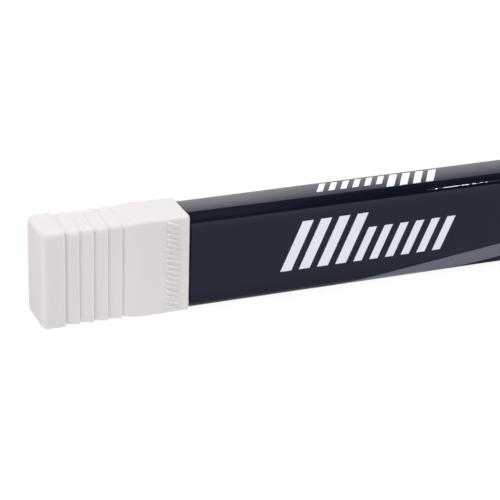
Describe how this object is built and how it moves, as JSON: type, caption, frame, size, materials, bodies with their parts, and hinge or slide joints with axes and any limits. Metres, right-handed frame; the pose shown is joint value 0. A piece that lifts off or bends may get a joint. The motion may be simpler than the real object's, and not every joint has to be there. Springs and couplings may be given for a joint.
{
  "type": "ringette stick",
  "caption": "Straight bladeless stick: hollow rounded-rectangle composite shaft, ribbed plastic playing tip at one end, plastic cap at the other.",
  "frame": {"origin": "centre of the flat end face of the playing tip", "axes": "+X runs along the stick from the tip to the butt, +Z across the broad face, Y through the thickness; the stick lies level on its lower narrow side"},
  "size_m": [1.3711, 0.0168, 0.0312],
  "materials": {
    "tip_plastic": "moulded white thermoplastic, satin",
    "shaft_composite": "blue-black paint under a high-gloss clear coat on carbon and glass composite",
    "cap_plastic": "moulded black plastic, satin",
    "adhesive": "hot-melt adhesive, amber, smooth",
    "print_white": "white ink print under the clear coat",
    "print_grey": "grey ink print under the clear coat"
  },
  "bodies": {
    "root": {"tip": "tip_plastic", "tip_adhesive": "adhesive", "shaft_tube": "shaft_composite", "butt_cap": "cap_plastic", "butt_adhesive": "adhesive"}
  },
  "joints": []
}
